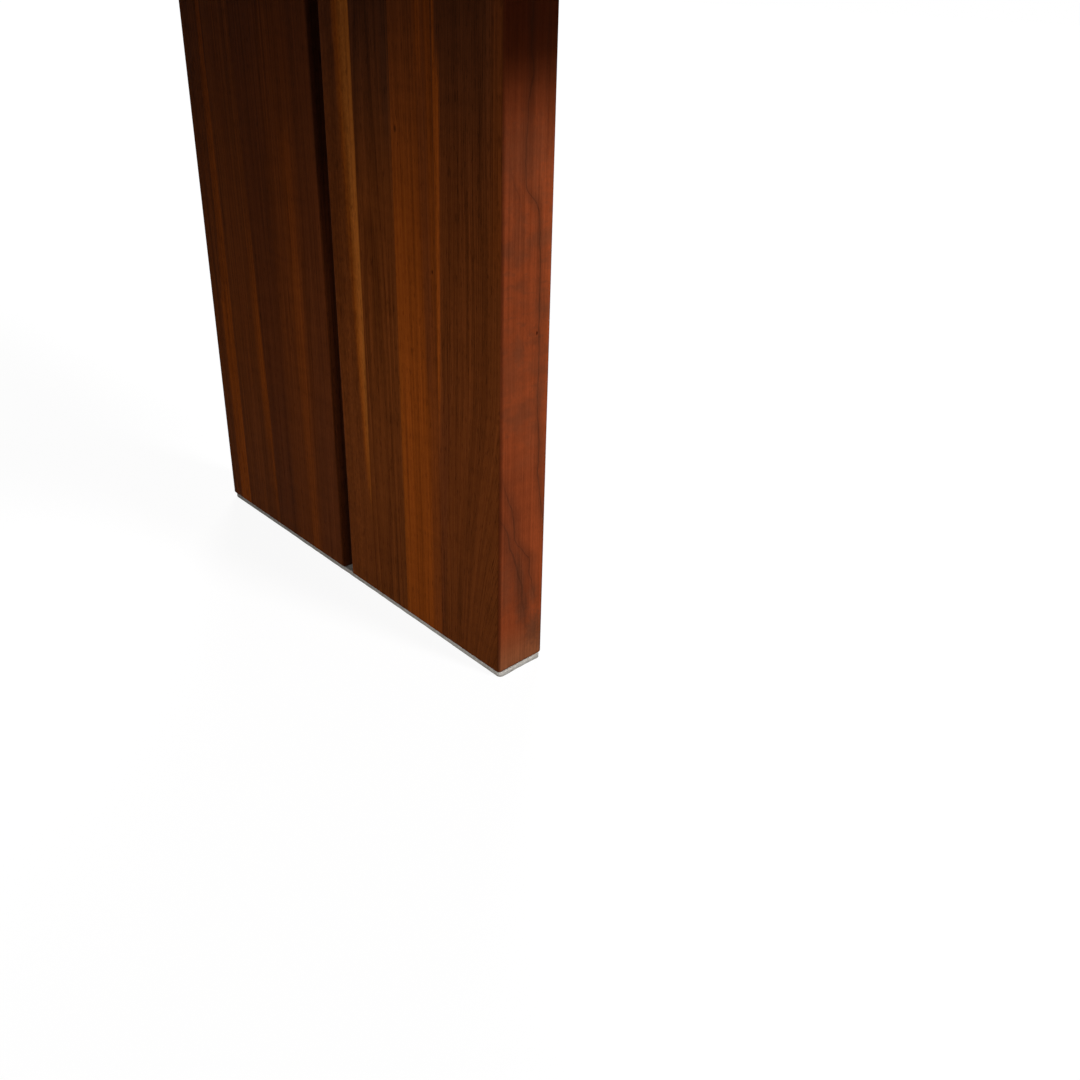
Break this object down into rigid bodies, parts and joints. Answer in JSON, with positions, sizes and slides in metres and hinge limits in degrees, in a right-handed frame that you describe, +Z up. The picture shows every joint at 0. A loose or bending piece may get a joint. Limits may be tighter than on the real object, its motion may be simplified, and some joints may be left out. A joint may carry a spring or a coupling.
{
  "type": "dining table",
  "caption": "Solid walnut dining table: a plain rectangular top on split panel legs, each a pair of upright boards with a dark shadow gap between them, standing on felt.",
  "frame": {"origin": "on the floor, below the middle of the top", "axes": "+X along the length of the table, +Y across it towards the rear, +Z up"},
  "size_m": [2, 1, 0.75],
  "materials": {
    "walnut": "satin oiled",
    "dark_spline": "stained near black",
    "felt": "pressed wool felt",
    "black_steel": "satin powder coat",
    "black_bolt": "black oxide",
    "zinc": "bright zinc plate",
    "brass": "plain"
  },
  "bodies": {
    "root": {"table_top": "walnut", "left_front_board": "walnut", "left_rear_board": "walnut", "right_front_board": "walnut", "right_rear_board": "walnut", "left_spline": "dark_spline", "right_spline": "dark_spline", "left_felt_strip": "felt", "right_felt_strip": "felt", "left_head_plate": "black_steel", "right_head_plate": "black_steel", "channel_1": "black_steel", "channel_2": "black_steel", "channel_3": "black_steel", "left_front_cheek_bolt_1": "zinc", "left_front_cheek_bolt_2": "zinc", "left_rear_cheek_bolt_1": "zinc", "left_rear_cheek_bolt_2": "zinc", "right_front_cheek_bolt_1": "zinc", "right_front_cheek_bolt_2": "zinc", "right_rear_cheek_bolt_1": "zinc", "right_rear_cheek_bolt_2": "zinc", "left_front_cheek_insert_1": "brass", "left_front_cheek_insert_2": "brass", "left_rear_cheek_insert_1": "brass", "left_rear_cheek_insert_2": "brass", "right_front_cheek_insert_1": "brass", "right_front_cheek_insert_2": "brass", "right_rear_cheek_insert_1": "brass", "right_rear_cheek_insert_2": "brass", "left_top_bolt_1": "black_bolt", "left_top_bolt_2": "black_bolt", "left_top_bolt_3": "black_bolt", "left_top_bolt_4": "black_bolt", "right_top_bolt_1": "black_bolt", "right_top_bolt_2": "black_bolt", "right_top_bolt_3": "black_bolt", "right_top_bolt_4": "black_bolt", "left_top_insert_1": "brass", "left_top_insert_2": "brass", "left_top_insert_3": "brass", "left_top_insert_4": "brass", "right_top_insert_1": "brass", "right_top_insert_2": "brass", "right_top_insert_3": "brass", "right_top_insert_4": "brass", "channel_1_screw_1": "black_bolt", "channel_1_screw_2": "black_bolt", "channel_1_screw_3": "black_bolt", "channel_1_screw_4": "black_bolt", "channel_2_screw_1": "black_bolt", "channel_2_screw_2": "black_bolt", "channel_2_screw_3": "black_bolt", "channel_2_screw_4": "black_bolt", "channel_3_screw_1": "black_bolt", "channel_3_screw_2": "black_bolt", "channel_3_screw_3": "black_bolt", "channel_3_screw_4": "black_bolt"}
  },
  "joints": []
}
